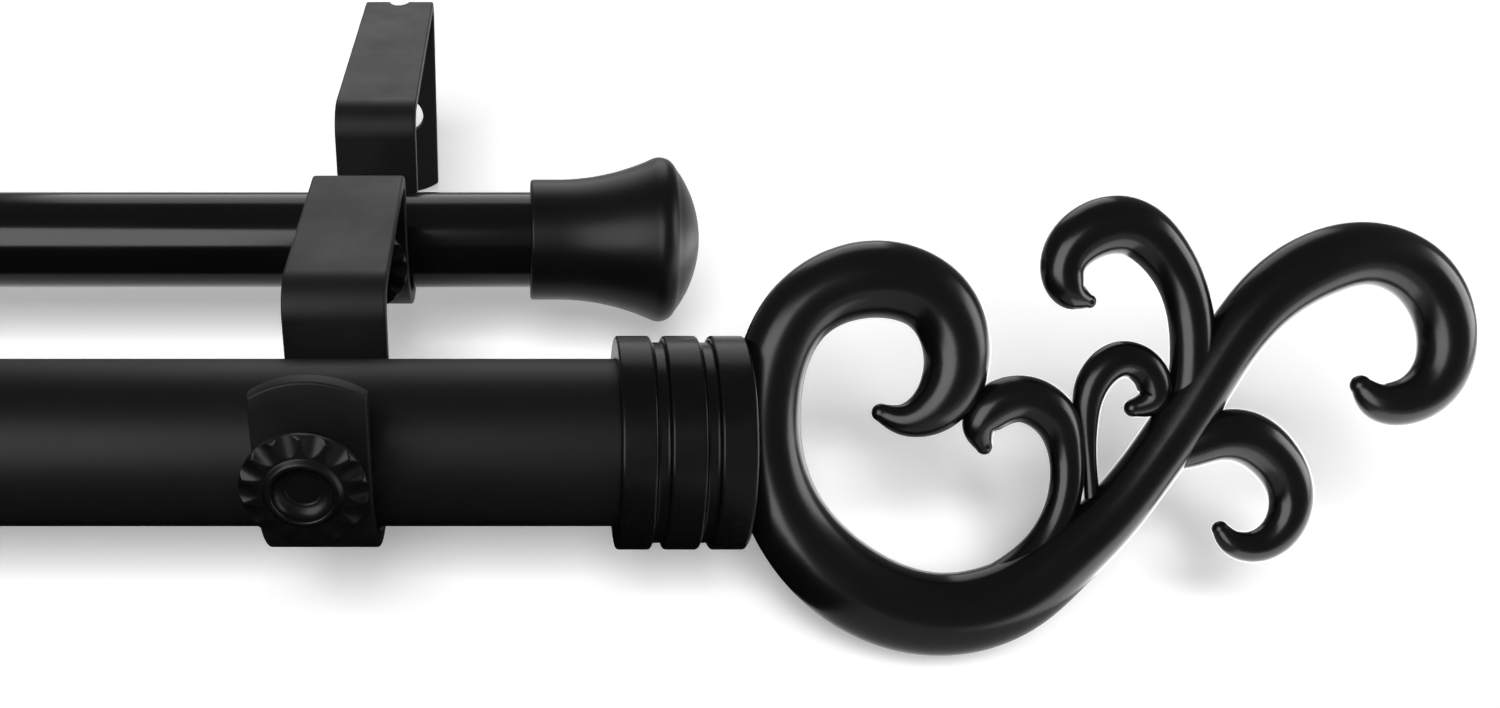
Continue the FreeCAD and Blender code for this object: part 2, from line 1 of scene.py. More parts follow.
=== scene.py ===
# %% [markdown]
# A double curtain pole: two telescoping steel tubes, one behind the other, on two brackets bent from flat
# bar. The front tube ends in ringed collars and cast scrolls, the rear one in flared caps, and thumb screws
# hold both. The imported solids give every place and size. This lesson rebuilds each visible piece as a
# smooth surface from numpy arrays, gives it a painted-metal finish, and then sets up the floor, the light
# and the camera.

# %% Load the frame
import math

import bpy
import bmesh
import numpy as np
from mathutils import Matrix


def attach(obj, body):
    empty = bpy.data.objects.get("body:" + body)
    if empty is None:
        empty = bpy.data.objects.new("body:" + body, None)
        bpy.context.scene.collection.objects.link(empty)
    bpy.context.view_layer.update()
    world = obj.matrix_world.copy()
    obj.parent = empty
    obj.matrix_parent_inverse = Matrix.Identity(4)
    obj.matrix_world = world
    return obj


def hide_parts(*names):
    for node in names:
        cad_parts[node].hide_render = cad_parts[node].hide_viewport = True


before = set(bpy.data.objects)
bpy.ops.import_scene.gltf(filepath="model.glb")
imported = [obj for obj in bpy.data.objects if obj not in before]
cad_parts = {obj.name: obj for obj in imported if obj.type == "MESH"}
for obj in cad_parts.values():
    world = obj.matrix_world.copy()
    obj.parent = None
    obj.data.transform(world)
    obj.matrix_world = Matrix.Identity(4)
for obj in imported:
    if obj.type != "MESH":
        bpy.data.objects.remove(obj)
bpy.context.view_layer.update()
MM = 0.001

# %% [markdown]
# The photograph was taken close up with a short lens, from in front of the right-hand bracket and above it,
# looking 29 degrees down. Such a camera could be set by eye, but fitting it to the edges of the poles and
# of the bracket's cups is surer. Because the object is cropped in the picture, the lens axis isn't in the
# middle of the frame, and a small sideways shift of the sensor puts it back.

# %% Camera
PICTURE_WIDTH, LENS_AXIS_X, LOOK_DOWN = 1500, 513.14, 28.86
camera = bpy.data.objects.new("camera", bpy.data.cameras.new("camera"))
bpy.context.scene.collection.objects.link(camera)
bpy.context.scene.camera = camera
camera.data.sensor_width = 36.0
camera.data.lens = 36.0
camera.data.shift_x = (PICTURE_WIDTH / 2 - LENS_AXIS_X) / PICTURE_WIDTH
camera.data.clip_start = 0.01
camera.location = (0.02817, -0.37335, 0.13143)
camera.rotation_euler = (math.radians(90 - LOOK_DOWN), 0, 0)
print("camera at", tuple(camera.location))

# %% [markdown]
# Every piece below is a grid of points: rows along a profile or a path, columns around or across it. One
# function turns such a grid into a mesh. It joins the last column to the first where the shape goes all the
# way round, and merges points that fall together, so a pole of a dome closes without a hole. Blender's own
# cylinders and modifiers would do for the tubes, but not for the scroll or the knob, so all the pieces
# share one way.

# %% From a grid to a piece
# Sizes are in millimetres: where the two poles' middle lines run, how thick the outer tubes are, and where
# the left bracket stands. The right bracket stands at the origin.
FRONT_AXIS = np.array([0.0, -180.0, 9.55])
REAR_AXIS = np.array([0.0, -99.0, 6.375])
OUTER = {"front": 25.4, "rear": 19.05}
LEFT_BRACKET = -591.0


def grid_faces(rows, columns, ring_rows=False, first=0):
    """Corner numbers of the quads: r*columns + c. Columns wrap round, and rows too where they are a ring."""
    r, c = np.meshgrid(np.arange(rows if ring_rows else rows - 1), np.arange(columns), indexing="ij")
    r2, c2 = (r + 1) % rows, (c + 1) % columns
    corners = np.stack([r * columns + c, r * columns + c2, r2 * columns + c2, r2 * columns + c], -1)
    return corners.reshape(-1, 4) + first


def build(name, points, faces, sharp_deg):
    """A mesh object from points in millimetres and quads: doubles merged, faces turned outwards."""
    mesh = bpy.data.meshes.new(name)
    mesh.from_pydata((np.asarray(points) * MM).tolist(), [], np.asarray(faces).tolist())
    work = bmesh.new()
    work.from_mesh(mesh)
    bmesh.ops.remove_doubles(work, verts=work.verts, dist=2e-7)
    bmesh.ops.recalc_face_normals(work, faces=work.faces)
    work.to_mesh(mesh)
    work.free()
    mesh.polygons.foreach_set("use_smooth", np.ones(len(mesh.polygons), bool))
    mesh.set_sharp_from_angle(angle=math.radians(sharp_deg))
    piece = bpy.data.objects.new(name, mesh)
    bpy.context.scene.collection.objects.link(piece)
    return piece


def dress(piece, body, node, material):
    """Stands a piece in for its CAD node: it rides on the node's body and wears the slot's finish."""
    piece.data.materials.clear()
    piece.data.materials.append(material)
    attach(piece, body)
    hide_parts(node)
    print(piece.name, len(piece.data.polygons), "faces")


print("outer tubes", OUTER, "mm thick, brackets", -LEFT_BRACKET, "mm apart")

# %% [markdown]
# Most of the pieces are turned: a profile of (along the axis, radius) points spun about X. Real turned and
# rolled edges are never knife-sharp, and a thin bright line along an edge is what makes black metal
# readable, so every corner of a profile is rounded. A Bevel modifier could do that, but a drawn profile
# puts each rounding where it belongs. A rounded corner gets one more point just before and after it, which
# keeps the flats beside it flat when they are shaded smooth.

# %% Profiles and turning
STRAIGHT = 0.02  # a corner that turns by less, in radians, stays a point
MOST = 0.45  # share of the shorter side beside it that a rounding may take
HOLD = 0.12  # how far beyond a rounding its holding points lie


def arc_points(a, b, radius, side, count):
    """The arc from a to b that turns left (side 1) or right (-1): centre plus radius times (cos, sin)."""
    a, b = np.array(a, float), np.array(b, float)
    chord = b - a
    half = np.linalg.norm(chord) / 2
    left = np.array([-chord[1], chord[0]]) / (2 * half)
    centre = (a + b) / 2 + side * left * math.sqrt(max(radius ** 2 - half ** 2, 0.0))
    start = math.atan2(*(a - centre)[::-1])
    turn = 2 * math.asin(min(half / radius, 1.0)) * side
    angle = start + turn * np.linspace(0, 1, count)
    return centre + radius * np.stack([np.cos(angle), np.sin(angle)], -1)


def rounded(corners, radius, closed=True, count=5):
    """A polyline with its corners as tangent arcs, each starting radius*tan(half turn) before its corner."""
    corners = np.array(corners, float)
    out = []
    for k in range(len(corners)):
        p = corners[k]
        if not closed and k in (0, len(corners) - 1):
            out.append(p[None])
            continue
        before, after = corners[k - 1] - p, corners[(k + 1) % len(corners)] - p
        u, v = before / np.linalg.norm(before), after / np.linalg.norm(after)
        inside = math.acos(np.clip(u @ v, -1, 1))
        if abs(inside - math.pi) < STRAIGHT:
            out.append(p[None])
            continue
        reach = min(np.linalg.norm(before), np.linalg.norm(after)) * MOST
        back = min(radius / math.tan(inside / 2), reach)
        size = back * math.tan(inside / 2)
        side = 1 if u[0] * v[1] - u[1] * v[0] < 0 else -1
        arc = arc_points(p + u * back, p + v * back, size, side, count)
        hold = min(HOLD, reach * 0.1)
        out.append(np.vstack([p + u * (back + hold), arc, p + v * (back + hold)]))
    return np.vstack(out)


def turned(profile, columns):
    """Spins (x, r) points about X: y = r cos(angle), z = r sin(angle)."""
    angle = np.linspace(0, 2 * math.pi, columns, endpoint=False)
    x, r = profile[:, :1], profile[:, 1:]
    return np.stack([x + 0 * angle, r * np.cos(angle), r * np.sin(angle)], -1)


def facing(points, way):
    """Points of a piece drawn towards +X, turned half round about Z where it is for the left end."""
    return points * np.array([way, way, 1.0])


print("a square with rounded corners has", len(rounded([(0, 0), (9, 0), (9, 9), (0, 9)], 1.0)), "points")

# %% [markdown]
# Black paint is nearly all reflection: its own colour is so dark that what the eye reads is how sharp and
# how even the gloss is. A finish could be one flat black, but that looks like a drawing. So each mixes two
# close blacks, varies the roughness in soft patches, and adds a fine bump for the film's grain. All
# patterns use Object coordinates, which are metres here, so a noise scale is one over a size in metres.

# %% Colours, nodes and coats
def linear(code):
    """sRGB hex to linear: c / 12.92 for very dark parts, else ((c + 0.055) / 1.055) to the power 2.4."""
    part = np.array([int(code[i:i + 2], 16) for i in (1, 3, 5)]) / 255
    return (*np.where(part <= 0.04045, part / 12.92, ((part + 0.055) / 1.055) ** 2.4), 1.0)


def add(tree, kind, inputs=None, **settings):
    """Adds a node. inputs maps a socket's name or number to a value or to the socket that feeds it."""
    made = tree.nodes.new("ShaderNode" + kind)
    for key, value in settings.items():
        setattr(made, key, value)
    for key, value in (inputs or {}).items():
        if isinstance(value, bpy.types.NodeSocket):
            tree.links.new(value, made.inputs[key])
        else:
            made.inputs[key].default_value = value
    return made


def coated(name, dark, light, rough, specular, grain_mm, grain_depth_mm, patch_mm, metallic=0.0):
    """A coat: two close shades and a roughness that both vary in soft patches, and a bump for the grain."""
    material = bpy.data.materials.new(name)
    material.use_nodes = True
    tree = material.node_tree
    tree.nodes.clear()
    place = add(tree, "TexCoord").outputs["Object"]
    patch = add(tree, "TexNoise", {"Vector": place, "Scale": 1 / (patch_mm * MM),
                                   "Detail": 4.0, "Roughness": 0.6})
    grain = add(tree, "TexNoise", {"Vector": place, "Scale": 1 / (grain_mm * MM),
                                   "Detail": 2.0, "Roughness": 0.5})
    shade = add(tree, "MixRGB", {"Fac": patch.outputs["Fac"], "Color1": linear(dark),
                                 "Color2": linear(light)})
    gloss = add(tree, "MapRange", {"Value": patch.outputs["Fac"], "From Min": 0.3, "From Max": 0.7,
                                   "To Min": rough[0], "To Max": rough[1]})
    bump = add(tree, "Bump", {"Height": grain.outputs["Fac"], "Distance": grain_depth_mm * MM,
                              "Strength": 0.6})
    shader = add(tree, "BsdfPrincipled", {"Base Color": shade.outputs["Color"],
                                          "Roughness": gloss.outputs["Result"],
                                          "Normal": bump.outputs["Normal"], "Metallic": metallic,
                                          "Specular IOR Level": specular})
    add(tree, "OutputMaterial", {"Surface": shader.outputs["BSDF"]})
    return material


print("sRGB #808080 in linear light:", round(linear("#808080")[0], 3))

# %% [markdown]
# The real finishes differ in how they were put on: sprayed, baked, moulded or plated. In numbers that is a
# roughness range, a specular level, and the sizes of grain, grain depth and patches, so one function serves
# for all. After the two shades, the numbers below stand in that order, sizes in millimetres.

# %% Finishes
# Sprayed satin paint on rolled tube: a soft broad sheen with a faint orange-peel, coarser than real to show.
front_pole_paint = coated("satin_paint_on_steel_tube", "#0a0a0b", "#0f0f11",
                          (0.40, 0.50), 0.09, 1.6, 0.004, 40)
# Semi-gloss paint on the rear tube: the same paint with a tighter, brighter band.
rear_pole_paint = coated("semi_gloss_paint_on_steel_tube", "#050506", "#0a0a0b",
                         (0.13, 0.18), 0.165, 2.0, 0.003, 50)
# Powder coat baked on flat bar: dull, with a fine sandy grain of about half a millimetre.
bracket_coat = coated("powder_coat_on_flat_bar", "#080809", "#101011", (0.46, 0.56), 0.13, 0.5, 0.02, 12)
# Enamel on a die-cast scroll: glossy, with slow waves left by hand finishing of the mould.
scroll_enamel = coated("enamel_on_cast_scroll", "#040405", "#080809", (0.18, 0.27), 0.20, 3.5, 0.05, 14)
# Enamel on turned collars and caps: an even, soft gloss that draws a pale line along each edge.
collar_enamel = coated("enamel_on_turned_collar", "#050506", "#0a0a0b", (0.24, 0.34), 0.10, 1.2, 0.003, 10)
cap_enamel = coated("satin_enamel_on_turned_cap", "#060607", "#0c0c0d", (0.32, 0.40), 0.12, 1.2, 0.004, 16)
# Moulded ABS: slightly shiny, with the mould's fine spark texture.
knob_plastic = coated("moulded_abs", "#050506", "#0a0a0b", (0.26, 0.36), 0.12, 0.4, 0.004, 6)
# Moulded nylon of the hidden plugs: dull and slightly grainy.
plug_plastic = coated("moulded_nylon", "#161616", "#202020", (0.5, 0.6), 0.4, 0.6, 0.006, 8)
# Zinc-plated thread: a pale grey metal with uneven brightness.
screw_steel = coated("zinc_plated_steel", "#8c8d90", "#b2b3b6", (0.26, 0.4), 0.5, 0.3, 0.002, 3, metallic=1.0)
print("finishes:", len(bpy.data.materials))

# %% [markdown]
# Each pole is a thin rolled tube with a smaller one sliding inside it. A cylinder with Solidify would give
# the wall. A closed profile, outer wall, end, inner wall, end, spun about the axis, also gives the trimmed
# and slightly rounded ends in one go.

# %% Tubes
# Pole, axis, how far the outer tube passes the right bracket, inner tube's length, finish, sliding body.
TUBES = [("front", FRONT_AXIS, 60.0, 676.0, front_pole_paint, "front_slider"),
         ("rear", REAR_AXIS, 51.6, 655.0, rear_pole_paint, "rear_slider")]
WALL = 0.8
SLIDE = 0.08  # gap between the inner tube and the outer one
TUBE_EDGE = 0.25
OUTER_SHORT = 25.0  # how far from the left bracket the outer tubes stop
INNER = {pole: diameter - 2 * (WALL + SLIDE) for pole, diameter in OUTER.items()}


def tube(name, x0, x1, diameter, axis):
    """A thin tube: the rounded rectangle (x0..x1) by (inner..outer radius), spun about its axis."""
    r = diameter / 2
    profile = rounded([(x0, r), (x1, r), (x1, r - WALL), (x0, r - WALL)], TUBE_EDGE)
    points = turned(profile, 128) + axis
    return build(name, points.reshape(-1, 3), grid_faces(len(profile), 128, ring_rows=True), 60)


for pole, axis, end, inner_length, paint, slider in TUBES:
    outer = tube(f"{pole}_outer_tube_rolled", LEFT_BRACKET + OUTER_SHORT, end, OUTER[pole], axis)
    dress(outer, "wall_mounted", f"{pole}_outer_tube", paint)
    left = LEFT_BRACKET - end
    inner = tube(f"{pole}_inner_tube_rolled", left, left + inner_length, INNER[pole], axis)
    dress(inner, slider, f"{pole}_inner_tube", paint)

# %% [markdown]
# The collar slips over the tube's end: three rings with two square grooves between them, and an end wall
# that the scroll seats on. The real one was turned on a lathe, so a spun profile is the closest copy of how
# it was made. Its edges are rounded just enough to catch a bright line.

# %% Collars
RING, RING_RADIUS = 5.2, 16.2
GROOVE, GROOVE_RADIUS = 1.9, 15.2
COLLAR_LENGTH = 3 * RING + 2 * GROOVE
COLLAR_WALL = 3.0
COLLAR_EDGE = 0.45
COLLAR_SEAT = 43.6  # from the bracket's middle to the collar's open end
STUD_HOLE = 2.03
BORE_GAP = 0.05


def collar(name, tube_diameter, base, way):
    """Three rings and two grooves as steps of radius, bored for the tube and the stud, spun about X."""
    bore, end = tube_diameter / 2 + BORE_GAP, COLLAR_LENGTH - COLLAR_WALL
    edges = np.cumsum([0, RING, GROOVE, RING, GROOVE, RING])
    steps = np.repeat(edges, 2)[1:-1]
    radii = np.repeat([RING_RADIUS, GROOVE_RADIUS, RING_RADIUS, GROOVE_RADIUS, RING_RADIUS], 2)
    back = [(COLLAR_LENGTH, STUD_HOLE), (end, STUD_HOLE), (end, bore), (0, bore)]
    profile = rounded(np.vstack([np.stack([steps, radii], -1), back]), COLLAR_EDGE)
    profile[:, 0] += COLLAR_SEAT
    points = facing(turned(profile, 160), way) + FRONT_AXIS + np.array([base, 0, 0])
    return build(name, points.reshape(-1, 3), grid_faces(len(profile), 160, ring_rows=True), 60)


# Side, where its bracket stands, which way it points, and the bodies that carry its scroll and its cap.
ENDS = [("right", 0.0, 1, "wall_mounted", "wall_mounted"),
        ("left", LEFT_BRACKET, -1, "front_slider", "rear_slider")]
for side, base, way, front_body, rear_body in ENDS:
    made = collar(f"collar_{side}_ringed", (OUTER if side == "right" else INNER)["front"], base, way)
    dress(made, front_body, f"collar_{side}", collar_enamel)

# %% [markdown]
# The rear pole's cap flares from a short neck to a rounded rim and ends in a shallow dome, with a socket
# behind. It is turned as well. Arcs of plain radii draw it better than a free curve would, because a lathe
# tool leaves arcs.

# %% End caps
CAP_SEAT = 31.6  # from the bracket's middle to the cap's open end


def end_cap(name, tube_diameter, base, way):
    """Neck of radius 12, flare arc of 45 mm to radius 16, rim arc of 3.4 mm, dome arc of 23.4 mm, spun."""
    socket = tube_diameter / 2 + BORE_GAP
    profile = np.vstack([
        rounded([(20.0, socket), (0.0, socket), (0.0, 12.0), (3.0, 12.0)], 0.6, closed=False),
        [[5.6, 12.0]],
        arc_points((6.0, 12.0), (24.0, 16.0), 45.0, 1, 24),
        arc_points((24.0, 16.0), (28.7, 14.4), 3.4, -1, 14)[1:],
        arc_points((28.7, 14.4), (33.6, 0.0), 23.4, -1, 20)[1:],
        [[20.0, 0.0]]])
    profile[:, 0] += CAP_SEAT
    points = facing(turned(profile, 128), way) + REAR_AXIS + np.array([base, 0, 0])
    return build(name, points.reshape(-1, 3), grid_faces(len(profile), 128, ring_rows=True), 50)


for side, base, way, front_body, rear_body in ENDS:
    made = end_cap(f"end_cap_{side}_flared", (OUTER if side == "right" else INNER)["rear"], base, way)
    dress(made, rear_body, f"end_cap_{side}", cap_enamel)

# %% [markdown]
# The scroll is one casting of five tapering limbs. A curve object with a bevel could draw a limb, but only
# with a round section and a taper that is hard to steer. So each limb is a list of stations on its middle
# line: distance from the collar, height, and half width.

# %% Scroll stations
MAIN_STEM = [
    (21.1, 4.5, 1.4), (24.2, 3.5, 2.4), (28.8, 4.9, 3.8), (32.6, 11.8, 4.9), (29.4, 21.5, 5.5),
    (20.9, 24.8, 5.9), (9.3, 20.4, 5.4), (3.6, 5.9, 5.3), (6.0, -9.6, 5.8), (15.7, -21.2, 6.5),
    (29.4, -26.1, 6.3), (41.0, -23.5, 5.8), (49.0, -17.6, 5.0), (55.7, -11.4, 4.4), (62.1, -3.5, 4.1),
    (67.9, 5.0, 4.2), (74.8, 15.9, 4.3), (81.1, 22.9, 4.8), (88.3, 27.2, 5.1), (95.1, 28.6, 4.9),
    (102.2, 26.1, 4.7), (107.1, 17.1, 4.3), (105.3, 9.2, 3.9), (101.5, 6.3, 3.6), (96.6, 6.3, 2.9),
    (94.1, 8.6, 1.6)]
INNER_CURL = [
    (36.0, -23.5, 3.4), (41.0, -20.6, 3.4), (45.4, -16.3, 2.9), (48.3, -10.8, 2.5), (49.4, -5.7, 2.5),
    (49.2, -1.1, 2.7), (47.1, 4.2, 3.5), (42.5, 6.6, 3.6), (37.9, 5.0, 3.4), (36.1, 1.9, 2.5),
    (36.8, -0.6, 1.3)]
BUD_CURL = [
    (53.4, -11.0, 1.2), (53.0, -5.5, 1.1), (52.7, -1.5, 1.2), (52.4, 3.3, 1.8), (53.2, 8.6, 2.5),
    (57.7, 12.6, 2.8), (62.0, 10.4, 2.7), (62.4, 6.5, 2.3), (59.5, 5.2, 1.4)]
UPPER_CURL = [
    (64.5, 1.1, 2.7), (67.5, 6.4, 3.2), (68.5, 13.2, 3.3), (67.8, 21.2, 3.4), (65.0, 27.5, 3.7),
    (58.2, 32.9, 4.5), (51.7, 31.1, 4.2), (48.8, 26.0, 3.3), (50.3, 22.5, 2.5), (52.8, 21.4, 1.1)]
LOWER_CURL = [
    (64.2, -2.4, 2.2), (68.0, -0.8, 3.2), (71.9, 0.8, 3.8), (75.9, 0.9, 4.1), (80.3, -1.8, 3.9),
    (83.4, -8.1, 3.3), (81.6, -13.7, 2.8), (77.5, -15.9, 2.4), (74.2, -15.0, 1.9), (72.7, -13.2, 1.25)]
print("scroll reaches", round(max(x + half for x, z, half in MAIN_STEM), 1), "mm beyond the collar")

# %% [markdown]
# A cubic spline through a limb's stations gives a smooth line, and an oval is carried along it. Where limbs
# meet they simply run into each other, as the casting's do, with a crisp valley between them. A Boolean
# union would join them too, but it breaks the even rows that make the highlights run smoothly.

# %% Scroll finials
SECTION_DEPTH = 0.88
SCROLL_LEAN = math.radians(29.0)
SCROLL_SEAT = 0.02  # the gap that is left to the collar


def spline(stations, count):
    """Natural cubic spline over chord length: the second derivatives at the stations solve one system."""
    knots = np.array(stations, float)
    step = np.linalg.norm(np.diff(knots[:, :2], axis=0), axis=1)
    t = np.concatenate([[0], np.cumsum(step)])
    n = len(t)
    system = np.eye(n)
    inner = np.arange(1, n - 1)
    system[inner, inner - 1], system[inner, inner + 1] = step[:-1], step[1:]
    system[inner, inner] = 2 * (step[:-1] + step[1:])
    right = np.zeros_like(knots)
    slope = np.diff(knots, axis=0) / step[:, None]
    right[1:-1] = 6 * np.diff(slope, axis=0)
    bend = np.linalg.solve(system, right)
    at = np.linspace(0, t[-1], count)
    k = np.clip(np.searchsorted(t, at, side="right") - 1, 0, n - 2)
    h, a, b = step[k, None], (t[k + 1] - at)[:, None], (at - t[k])[:, None]
    return (bend[k] * a ** 3 + bend[k + 1] * b ** 3) / (6 * h) + (knots[k] / h - bend[k] * h / 6) * a \
        + (knots[k + 1] / h - bend[k + 1] * h / 6) * b


def limb(stations, rows, columns=44, tip_start=False):
    """Ovals square to the line: centre + across*half*cos + SECTION_DEPTH*half*sin, half balls at the tips."""
    line = spline(stations, rows)
    centre, half = line[:, :2], line[:, 2]
    way = np.gradient(centre, axis=0)
    way /= np.linalg.norm(way, axis=1, keepdims=True)
    lift = np.linspace(0, math.pi / 2, 9)[1:]

    def ball(c, h, w):
        return c + np.sin(lift)[:, None] * h * w, h * np.cos(lift), np.repeat(w[None], len(lift), 0)

    parts = [(centre, half, way), ball(centre[-1], half[-1], way[-1])]
    if tip_start:
        c, h, w = ball(centre[0], half[0], -way[0])
        parts.insert(0, (c[::-1], h[::-1], -w[::-1]))
    else:
        parts.insert(0, (centre[:1], np.zeros(1), way[:1]))
    centre, half, way = (np.concatenate(p) for p in zip(*parts))
    angle = np.linspace(0, 2 * math.pi, columns, endpoint=False)
    across = np.stack([-way[:, 1], way[:, 0]], -1)
    flat = centre[:, None] + across[:, None] * (half[:, None] * np.cos(angle))[..., None]
    deep = half[:, None] * SECTION_DEPTH * np.sin(angle)
    return np.stack([flat[..., 0], deep, flat[..., 1]], -1)


def scroll(name, base, way):
    """Five limbs in one mesh, pressed flat where they meet the collar, leaned back and moved into place."""
    grids = [limb(MAIN_STEM, 420, 56, True), limb(INNER_CURL, 130), limb(BUD_CURL, 120),
             limb(UPPER_CURL, 150), limb(LOWER_CURL, 130)]
    faces, first = [], 0
    for g in grids:
        faces.append(grid_faces(g.shape[0], g.shape[1], first=first))
        first += g.shape[0] * g.shape[1]
    points = np.vstack([g.reshape(-1, 3) for g in grids])
    points[:, 0] = np.maximum(points[:, 0], SCROLL_SEAT)
    points = facing(points, way)
    c, s = math.cos(-SCROLL_LEAN), math.sin(-SCROLL_LEAN)
    points = points @ np.array([[1, 0, 0], [0, c, s], [0, -s, c]])
    points += FRONT_AXIS + np.array([base + way * (COLLAR_SEAT + COLLAR_LENGTH), 0, 0])
    return build(name, points, np.vstack(faces), 60)


for side, base, way, front_body, rear_body in ENDS:
    made = scroll(f"finial_{side}_scroll", base, way)
    dress(made, front_body, f"finial_{side}", scroll_enamel)

# %% [markdown]
# The bracket is flat bar, 16.5 by 2.5 mm, bent round formers: up the wall, out, down and round a cup, and
# so on to the front leg. A path with a bevel object could sweep it, but the bends need many rows and the
# flats few, so a pen that draws straight runs and arcs gives the middle line.

# %% Bracket line
HALF_W, HALF_T = 8.25, 1.25
BEND_IN, CUP_IN = 3.8, 15.1  # inside radii
BEND, CUP = BEND_IN + HALF_T, CUP_IN + HALF_T  # radii of the middle line
FOOT_Z, FOOT_RUN, WALL_RUN = -23.75, 34.0, 11.8
ARM_START = 8.0
DROP, LEG_RUN = 10.3, 18.4
ARM_RUN = -REAR_AXIS[1] - CUP - 2 * BEND - ARM_START - HALF_T
LINK_RUN = REAR_AXIS[1] - FRONT_AXIS[1] - 2 * CUP - 2 * BEND
BEND_Z = FOOT_Z + FOOT_RUN + WALL_RUN  # where the bends at the top of the bracket begin
CUP_TOP_Z = BEND_Z - DROP
BEND_POINTS, CUP_POINTS, RUN_POINTS = 28, 48, 8


def bar_line():
    """The middle line as (y, z, heading) rows: straight runs move on, arcs turn the heading step by step."""
    quarter = math.pi / 2
    bend, cup = ("arc", BEND, quarter), ("arc", CUP, -2 * quarter)
    drop = ("line", DROP)
    runs = [("line", FOOT_RUN), ("fine", WALL_RUN), bend, ("fine", ARM_START), ("line", ARM_RUN), bend,
            drop, cup, drop, bend, ("line", LINK_RUN), bend, drop, cup, ("line", LEG_RUN)]
    at, heading, rows = np.array([-HALF_T, FOOT_Z]), quarter, []
    for run in runs:
        if run[0] == "arc":
            count = BEND_POINTS if run is bend else CUP_POINTS
            turn = run[2] * np.linspace(0, 1, count)
            side = math.copysign(1, run[2])
            normal = np.array([-math.sin(heading), math.cos(heading)]) * side
            centre = at + normal * run[1]
            angle = math.atan2(*(at - centre)[::-1]) + turn
            points = centre + run[1] * np.stack([np.cos(angle), np.sin(angle)], -1)
            rows.append(np.column_stack([points, heading + turn]))
            heading += run[2]
        else:
            count = BEND_POINTS if run[0] == "fine" else RUN_POINTS
            ahead = np.array([math.cos(heading), math.sin(heading)])
            points = at + ahead * (run[1] * np.linspace(0, 1, count))[:, None]
            rows.append(np.column_stack([points, np.full(count, heading)]))
        at = rows[-1][-1, :2]
    line = np.vstack(rows)
    keep = np.concatenate([[True], np.linalg.norm(np.diff(line[:, :2], axis=0), axis=1) > 1e-6])
    return line[keep]


steps = np.diff(bar_line()[:, :2], axis=0)
print("bar before bending:", round(float(np.linalg.norm(steps, axis=1).sum()), 1), "mm long")

# %% [markdown]
# The bar's section, a rectangle with slightly rounded edges, is carried along that line, and the two free
# ends are stretched to a curve. A dart is pressed into the wall bend to stiffen it. It could be sculpted,
# but an ellipsoid gives the same slim hollow from three sizes, and the broad sides are cut finely across so
# that there are points for it to move.

# %% Bracket section and dart
EDGE = 0.4
END_RADIUS = 14.5
ACROSS_POINTS = 44
DART_SHIFT, DART_HALF, DART_LONG = 2.2, 3.0, 5.8


def bar_section():
    """The bar's section as (x, n) points: a rectangle with rounded edges, its broad sides cut finely."""
    ring = rounded([(-HALF_W, -HALF_T), (HALF_W, -HALF_T), (HALF_W, HALF_T), (-HALF_W, HALF_T)], EDGE)
    quarter = len(ring) // 4
    across = np.linspace(-HALF_W + 2 * EDGE, HALF_W - 2 * EDGE, ACROSS_POINTS)
    low = np.stack([across, np.full(ACROSS_POINTS, -HALF_T)], -1)
    return np.vstack([ring[:quarter], low, ring[quarter:3 * quarter], (low * [-1, -1]), ring[3 * quarter:]])


def pressed_dart(points):
    """The dart at the wall bend: points inside a slim ellipsoid slide along the bend's diagonal onto it."""
    diagonal = np.array([0, 1, 1]) / math.sqrt(2)
    along = np.array([0, 1, -1]) / math.sqrt(2)
    corner = np.array([0, -HALF_T - BEND, BEND_Z])
    for shift, outer in ((DART_SHIFT, False), (DART_SHIFT + 2 * HALF_T, True)):
        p = points - (corner + diagonal * shift)
        u, v, w = p[..., 0] / DART_HALF, p @ along / DART_LONG, p @ diagonal / DART_HALF
        room = 1 - u ** 2 - v ** 2
        floor = -np.sqrt(np.maximum(room, 0))
        inside = (room > 0) & (w > floor) & (w < 1)
        near = np.abs(p @ diagonal + shift - (BEND + (HALF_T if outer else -HALF_T))) < DART_HALF
        points = points + np.where(inside & near, (floor - w) * DART_HALF, 0)[..., None] * diagonal
    return points


def bar():
    """The section carried along the line: y, z = middle + normal*n, end runs stretched to the end curve."""
    line, section = bar_line(), bar_section()
    heading = line[:, 2]
    normal = np.stack([-np.sin(heading), np.cos(heading)], -1)
    x, n = section[:, 0], section[:, 1]
    flat = line[:, None, :2] + normal[:, None] * n[None, :, None]
    points = np.stack([np.broadcast_to(x, flat.shape[:2]), flat[..., 0], flat[..., 1]], -1)
    sag = END_RADIUS - np.sqrt(END_RADIUS ** 2 - x ** 2)
    row = np.arange(len(line))
    foot = np.where(row < RUN_POINTS, 1 - np.clip((line[:, 1] - FOOT_Z) / FOOT_RUN, 0, 1), 0)
    leg = np.where(len(line) - row <= RUN_POINTS, (line[:, 1] - CUP_TOP_Z) / LEG_RUN, 0)
    points[..., 2] += (foot - leg)[:, None] * sag
    return points


print("bar section:", len(bar_section()), "points round it")

# %% [markdown]
# A sweep can't have holes in it, so the wall holes, the keyhole and the tapped holes are drilled afterwards
# with Boolean modifiers, one straight cutter each, as a workshop would, and the result is kept as the mesh.

# %% Brackets
SCREW_RISE = {"front": 8.5, "rear": 5.9}
WALL_HOLE, WALL_HOLE_Z, TAPPED_HOLE = 2.5, 14.75, 2.55
KEY_RADIUS, KEY_Z, KEY_TOP_Z = 4.8, -2.45, 6.55
THROUGH_PLATE, THROUGH_LEG = np.array([-4, 2]), np.array([-19, -14])  # from the wall, and from a pole's axis
HOLE_POINTS = 48


